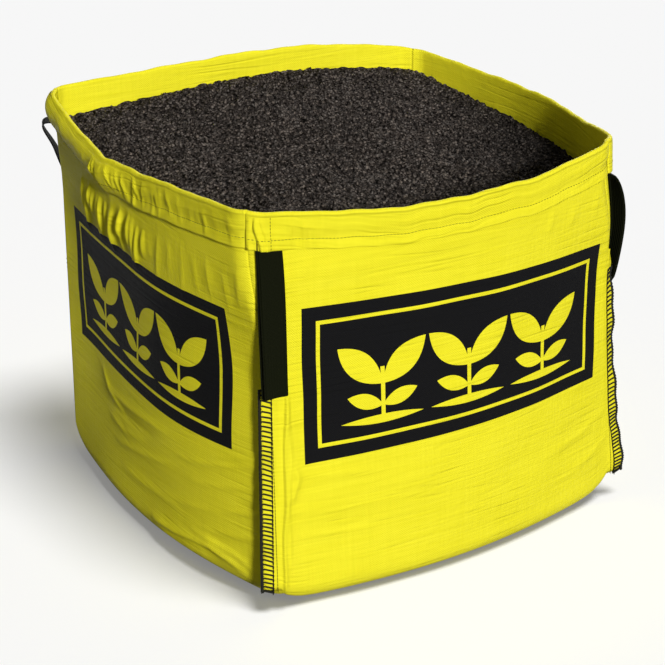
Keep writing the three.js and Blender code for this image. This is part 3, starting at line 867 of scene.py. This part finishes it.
def scatter_crumbs(top, finish):
    """Loose crumbs that lie half sunk in the bed."""
    golden = (1 + 5 ** 0.5) / 2
    ball = np.array([(0, i, j * golden) for i in (-1, 1) for j in (-1, 1)])
    ball = np.concatenate([ball, ball[:, [1, 2, 0]], ball[:, [2, 0, 1]]])
    ball /= np.linalg.norm(ball[0])
    sides = []
    for a, b, c in itertools.combinations(range(12), 3):
        trio = ball[[a, b, c]]
        if max(np.linalg.norm(trio[n] - trio[n - 1]) for n in range(3)) < 1.1:
            sides.append((a, b, c) if np.linalg.det(trio) > 0 else (a, c, b))
    sides = np.array(sides)
    rings, columns = top.shape[:2]
    ring_pick = ((1 - np.sqrt(1 - DRAW.uniform(0.065, 0.999, CRUMBS))) * rings).astype(int)
    spots = top[ring_pick, DRAW.integers(0, columns, CRUMBS)]
    places = spots + DRAW.uniform(-0.003, 0.003, (CRUMBS, 3)) * (1, 1, 0)
    sizes = 0.0028 + 0.0046 * DRAW.uniform(0, 1, CRUMBS) ** 4
    lumps = ball[None] * DRAW.uniform(0.75, 1.25, (CRUMBS, 12, 1)) * sizes[:, None, None]
    lumps *= DRAW.uniform(0.7, 1.3, (CRUMBS, 1, 3))
    spin = DRAW.uniform(0, 2 * np.pi, CRUMBS)[:, None]
    x = lumps[..., 0] * np.cos(spin) - lumps[..., 1] * np.sin(spin)
    y = lumps[..., 0] * np.sin(spin) + lumps[..., 1] * np.cos(spin)
    points = np.stack([x, y, lumps[..., 2] * 0.8], -1) + places[:, None] + np.array((0, 0, 0.001))
    faces = (sides[None] + 12 * np.arange(CRUMBS)[:, None, None]).reshape(-1, 3)
    piece = make_piece("soil_crumbs", points, faces, finish, flat=True)


# Base: columns to a side, and rings as shares of the way out from the middle
BASE_COLUMNS = 24
BASE_RINGS = (0.02, 0.35, 0.7, 0.85, 0.93, 1.0)


def base_edge(k, t):
    s, o = drawn_in(*wall(k, t, np.full_like(t, LIP_HEIGHT)), BASE_ROUND)
    return s, o, lifted(k, t, np.zeros_like(t))


def lay_base(finish):
    """The cloth that the bag stands on, flat but for its drawn-up corners."""
    ring = round_bag(BASE_COLUMNS, base_edge)
    # Only the outer rings follow the corners up
    points = np.stack([ring * (share, share, share ** 12) for share in BASE_RINGS], 1)
    points = points + (0, 0, CLOTH / 2)
    points = np.concatenate([points, points[:1]])
    places, faces, _ = thick_sheet(points[:, ::-1], CLOTH)
    flat = places[:, :2] + 2
    piece = make_piece("base_cloth", places, faces, finish, {"weave": flat, "print": flat})
    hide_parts("base_panel")


# Finishes
class Wire:
    """One output in a finish, so that sums on it read as arithmetic."""

    def __init__(self, finish, socket):
        self.finish, self.socket = finish, socket

    def math(self, operation, *others):
        return self.finish.add("Math", {"operation": operation}, dict(enumerate((self,) + others)))

    __add__ = __radd__ = partialmethod(math, "ADD")
    __sub__ = partialmethod(math, "SUBTRACT")
    __mul__ = partialmethod(math, "MULTIPLY")
    __truediv__ = partialmethod(math, "DIVIDE")
    __gt__ = partialmethod(math, "GREATER_THAN")
    __lt__ = partialmethod(math, "LESS_THAN")
    __abs__ = partialmethod(math, "ABSOLUTE")
    sine = partialmethod(math, "SINE")

    def __rsub__(self, other):
        return self.finish.add("Math", {"operation": "SUBTRACT"}, {0: other, 1: self})

    def clip(self):
        return self.finish.add("Clamp", {}, {0: self})


class Finish:
    """A material and the nodes that make it."""

    def __init__(self, name):
        self.material = bpy.data.materials.new(name)
        self.material.use_nodes = True
        self.tree = self.material.node_tree
        self.tree.nodes.clear()

    def add(self, kind, settings, sockets, out=0):
        node = self.tree.nodes.new("ShaderNode" + kind)
        for key, value in settings.items():
            setattr(node, key, value)
        for key, value in sockets.items():
            socket = node.inputs[key]
            if isinstance(value, Wire):
                self.tree.links.new(value.socket, socket)
            else:
                socket.default_value = value
        return Wire(self, node.outputs[out])

    def mix(self, share, first, second):
        first, second = [c if isinstance(c, Wire) else tuple(c) + (1.0,) for c in (first, second)]
        return self.add("Mix", {"data_type": "RGBA"}, {0: share, 6: first, 7: second}, 2)

    def noise(self, place, scale, detail, roughness=0.55):
        sockets = {"Vector": place, "Scale": scale, "Detail": detail, "Roughness": roughness}
        return self.add("TexNoise", {"noise_dimensions": "3D"}, sockets)

    def split(self, place):
        parts = self.add("SeparateXYZ", {}, {0: place})
        node = parts.socket.node
        return [Wire(self, node.outputs[n]) for n in range(3)]

    def gather(self, x, y, z):
        return self.add("CombineXYZ", {}, {0: x, 1: y, 2: z})

    def flat_place(self, layer):
        return self.add("UVMap", {"uv_map": layer}, {})

    def bag_place(self):
        return self.add("TexCoord", {}, {}, "Object")

    def done(self, colour, rough, shine, height, relief):
        bump = self.add("Bump", {}, {"Height": height, "Distance": relief, "Strength": 1.0})
        sockets = {"Base Color": colour, "Roughness": rough, "Specular IOR Level": shine, "Normal": bump}
        self.finish_with(self.add("BsdfPrincipled", {}, sockets))
        return self.material

    def finish_with(self, surface):
        node = self.tree.nodes.new("ShaderNodeOutputMaterial")
        self.tree.links.new(surface.socket, node.inputs["Surface"])


CLOTH_YELLOW = (0.9, 0.82, 0.032)
CLOTH_DEEP = (0.74, 0.67, 0.01)
PRINT_BLACK = (0.0085, 0.0085, 0.009)
WEBBING_BLACK = (0.0045, 0.0055, 0.0018)
WEBBING_WORN = (0.009, 0.0105, 0.0035)
SOIL_DARK = ((0.03, 0.024, 0.0205), (0.046, 0.0375, 0.0325))
SOIL_LIGHT = ((0.2, 0.178, 0.16), (0.245, 0.2, 0.165))
# Painted shade for the gaps between crumbs
PAINTED_CRUMB_GAP_SHADE = (0.006, 0.005, 0.004)
# Painted shade: the soil colour towards the front right corner, standing in for the rim's shadow there
PAINTED_CORNER_SHADE_SOIL = (0.005, 0.0042, 0.0036)
BLACK_THREAD = ((0.008, 0.008, 0.006), (0.03, 0.03, 0.022))
OLIVE_THREAD = ((0.1, 0.095, 0.004), (0.22, 0.2, 0.01))

# Repeats of the cloth's weave and of the webbing's ribs and picks in metres, and crumbs to a metre
TAPE = 0.0048
RIB = 0.0055
PICK = 0.003
CRUMB_SCALE = 165.0

# The printed field: its width for a height of 1, the half sizes of its parts and the seedlings' pitch
FIELD_WIDTH = 2.29
FRAME_OUTSIDE = (1.055, 0.41)
FRAME_INSIDE = (1.03, 0.385)
SEEDLING_PITCH = 0.62


def seedling_print(finish):
    """Black field with a thin inset frame and a row of seedlings: 1 where it is black."""
    x, y, _ = finish.split(finish.flat_place("print"))
    wide, high = (x - 0.5) * FIELD_WIDTH, y - 0.5
    sizes = (FIELD_WIDTH / 2, 0.5), FRAME_OUTSIDE, FRAME_INSIDE
    in_field, in_frame, in_panel = [(abs(wide) < w) * (abs(high) < h) for w, h in sizes]
    place = abs(wide.math("WRAP", SEEDLING_PITCH / 2, -SEEDLING_PITCH / 2))
    row = (abs(wide) < SEEDLING_PITCH * 1.5) * in_panel

    def leaf(base, angle, length, width):
        turn = math.radians(angle)
        run = place * math.cos(turn) + (high - base) * math.sin(turn)
        off = abs((high - base) * math.cos(turn) - place * math.sin(turn))
        share = run / (length / 2) - 1
        return ((1 - share * share) * width - off) > 0

    stem = (place < 0.014) * (abs(high + 0.12) < 0.17)
    mound = ((0.028 - place * place * 0.35) - abs(high + 0.29)) > 0
    leaves = leaf(-0.06, 42, 0.4, 0.085).math("MAXIMUM", leaf(-0.2, 18, 0.25, 0.05))
    motif = leaves.math("MAXIMUM", stem).math("MAXIMUM", mound) * row
    frame_line = in_frame - in_panel
    return in_field * (1 - motif.math("MAXIMUM", frame_line))


def cloth_finish(printed):
    finish = Finish("printed_cloth" if printed else "plain_cloth")
    s, z, _ = finish.split(finish.flat_place("weave"))
    tape = 2 * math.pi / TAPE
    over = (s * tape).sine() * (z * tape).sine()
    streak = finish.noise(finish.gather(s * 5.0, z * 210.0, 0.0), 1.0, 2.0)
    upright = finish.noise(finish.gather(s * 190.0, z * 4.0, 3.0), 1.0, 2.0)
    crinkle = finish.noise(finish.gather(s, z, 0.5), 62.0, 4.0, 0.6)
    cloudy = finish.noise(finish.gather(s, z, 2.5), 7.0, 3.0)
    tapes = (streak - 0.5) * 0.9 + (upright - 0.5) * 0.5 + over * 0.1
    shade = (tapes + (cloudy - 0.5) * 0.5 + 0.35).clip()
    colour = finish.mix(shade, CLOTH_YELLOW, CLOTH_DEEP)
    rough = 0.3 + streak * 0.1
    if printed:
        ink = seedling_print(finish)
        colour = finish.mix(ink, colour, PRINT_BLACK)
        rough = rough + ink * 0.08
    fold = finish.noise(finish.gather(s * 2.6, z * 34.0, 7.0), 1.0, 1.0) - 0.5
    tuck = (1 - fold * fold * 240).clip() * ((cloudy - 0.4) * 5).clip()
    height = over * 0.3 + streak * 0.9 + upright * 0.5 + crinkle * 1.1 - tuck * 0.7
    return finish.done(colour, rough, shine=0.01, height=height, relief=0.0017)


def webbing_finish():
    finish = Finish("black_webbing")
    x, y, _ = finish.split(finish.flat_place("weave"))
    rib = (x * (2 * math.pi / RIB)).sine()
    pick = (y * (2 * math.pi / PICK)).sine()
    fuzz = finish.noise(finish.gather(x, y, 0.0), 420.0, 3.0)
    colour = finish.mix((rib * pick * 0.25 + fuzz * 0.7).clip(), WEBBING_BLACK, WEBBING_WORN)
    height = rib * 0.6 + pick * 0.35 + fuzz * 0.3
    return finish.done(colour, 0.62 + fuzz * 0.2, shine=0.03, height=height, relief=0.0008)


def thread_finish(name, dark, light):
    finish = Finish(name)
    twist = finish.noise(finish.bag_place(), 900.0, 2.0)
    return finish.done(finish.mix(twist, dark, light), 0.6, shine=0.05, height=twist, relief=0.0004)


def soil_finish():
    finish = Finish("topsoil")
    place = finish.bag_place()
    patch = finish.noise(place, 9.0, 3.0)
    grain = finish.noise(place, 260.0, 4.0, 0.7)
    crumbs = {"Vector": place, "Scale": CRUMB_SCALE}
    crumb = finish.add("TexVoronoi", {"feature": "F1"}, crumbs, "Color")
    gap = finish.add("TexVoronoi", {"feature": "F1"}, crumbs, "Distance")
    tone, warm, _ = finish.split(crumb)
    dark = finish.mix(patch, *SOIL_DARK)
    light = finish.mix(warm, *SOIL_LIGHT)
    colour = finish.mix((tone * tone * 0.9 + (grain - 0.5) * 0.8).clip(), dark, light)
    # Painted shade: the gaps between the crumbs are darkened
    colour = finish.mix((gap * 2.2 - 0.75).clip(), colour, PAINTED_CRUMB_GAP_SHADE)
    x, y, _ = finish.split(place)
    # Painted shade: the soil turns darker towards the front right corner, as if the rim's shadow fell there
    corner_shade = ((x * 0.75 - y * 0.45 + (patch - 0.5) * 0.12 - 0.2) * 5.5).clip()
    colour = finish.mix(corner_shade * 0.6, colour, PAINTED_CORNER_SHADE_SOIL)
    height = grain * 0.5 - gap * 1.2
    return finish.done(colour, 0.93, shine=0.05, height=height, relief=0.006)


# Studio: the floor's reach in metres, and the camera's angles in degrees and places in metres
FLOOR_REACH = 30
CAMERA_AROUND = -34.4455
CAMERA_ABOVE = 23.644
CAMERA_TARGET = (0.015, 0.04, 0.3324)
CAMERA_DISTANCE = 4.6217
CAMERA_SENSOR = 36.0
CAMERA_LENS = 113.03


def floor_finish():
    """White paper that throws little of its light back at the bag."""
    finish = Finish("studio_floor")
    seen = finish.add("LightPath", {}, {}, "Is Camera Ray")
    for kind in ("Is Glossy Ray", "Is Transmission Ray"):
        seen = (seen + finish.add("LightPath", {}, {}, kind)).clip()
    dim = finish.add("BsdfDiffuse", {}, {"Color": (0.1, 0.1, 0.1, 1)})
    paper = finish.add("BsdfDiffuse", {}, {"Color": (0.76, 0.76, 0.76, 1)})
    glow = finish.add("Emission", {}, {"Color": (1, 1, 1, 1), "Strength": 0.21})
    white = finish.add("AddShader", {}, {0: paper, 1: glow})
    finish.finish_with(finish.add("MixShader", {}, {0: seen, 1: dim, 2: white}))
    return finish.material


def lay_floor():
    mesh = bpy.data.meshes.new("floor")
    ends = ((-1, -1), (1, -1), (1, 1), (-1, 1))
    mesh.from_pydata([(x * FLOOR_REACH, y * FLOOR_REACH, 0) for x, y in ends], [], [(0, 1, 2, 3)])
    mesh.materials.append(floor_finish())
    floor = put("floor", mesh)
    return floor


def set_lamps(floor):
    """A dim white world, and lamps that light either the bag or the floor and its shadow."""
    world = bpy.data.worlds.new("studio")
    world.use_nodes = True
    background = world.node_tree.nodes["Background"].inputs
    background["Color"].default_value = (1, 1, 1, 1)
    background["Strength"].default_value = 0.08
    bpy.context.scene.world = world
    lit_floor = bpy.data.collections.new("lit_floor")
    lit_floor.objects.link(floor)
    unlit_floor = bpy.data.collections.new("unlit_floor")
    unlit_floor.objects.link(floor)
    unlit_floor.collection_objects[0].light_linking.link_state = "EXCLUDE"
    lamps = (
        ("key", 3.6, 9, (-0.23, -0.91, 0.34), unlit_floor),
        ("fill", 0.45, 80, (-0.1, -0.1, 0.97), unlit_floor),
        ("back_fill", 2.4, 50, (0.62, 0.7, 0.36), unlit_floor),
        ("floor_wash", 2.9, 22, (0.06, -0.34, 0.94), lit_floor),
    )
    for name, energy, spread, way, lit in lamps:
        lamp = bpy.data.lights.new(name, "SUN")
        lamp.energy = energy
        lamp.angle = math.radians(spread)
        holder = put(name, lamp)
        holder.rotation_euler = Vector(way).to_track_quat("Z", "Y").to_euler()
        holder.light_linking.receiver_collection = lit


def set_camera():
    around, above = math.radians(CAMERA_AROUND), math.radians(CAMERA_ABOVE)
    level = math.cos(above)
    back = Vector((math.sin(around) * level, -math.cos(around) * level, math.sin(above)))
    view = bpy.data.cameras.new("view")
    view.sensor_width = CAMERA_SENSOR
    view.lens = CAMERA_LENS
    view.clip_end = 200
    camera = put("view", view)
    camera.location = Vector(CAMERA_TARGET) + back * CAMERA_DISTANCE
    camera.rotation_euler = back.to_track_quat("Z", "Y").to_euler()
    bpy.context.scene.camera = camera
    bpy.context.scene.view_settings.view_transform = "Standard"


set_lamps(lay_floor())
set_camera()
printed_cloth, plain_cloth = cloth_finish(True), cloth_finish(False)
black_webbing = webbing_finish()
black_thread = thread_finish("black_thread", *BLACK_THREAD)
olive_thread = thread_finish("olive_thread", *OLIVE_THREAD)
topsoil = soil_finish()

heap = fill_soil(topsoil)
scatter_crumbs(heap, topsoil)
lay_base(plain_cloth)
for k in range(4):
    flap, first_flap = sew_panel(k, printed_cloth)
    hem_stitches(k, flap, first_flap, olive_thread)
    loop_stitches(k, flap, first_flap, olive_thread)
for k in range(4):
    fin_threads(k, black_thread)
    chain_stitches(k, olive_thread)
    strap(CORNERS[k], black_webbing)
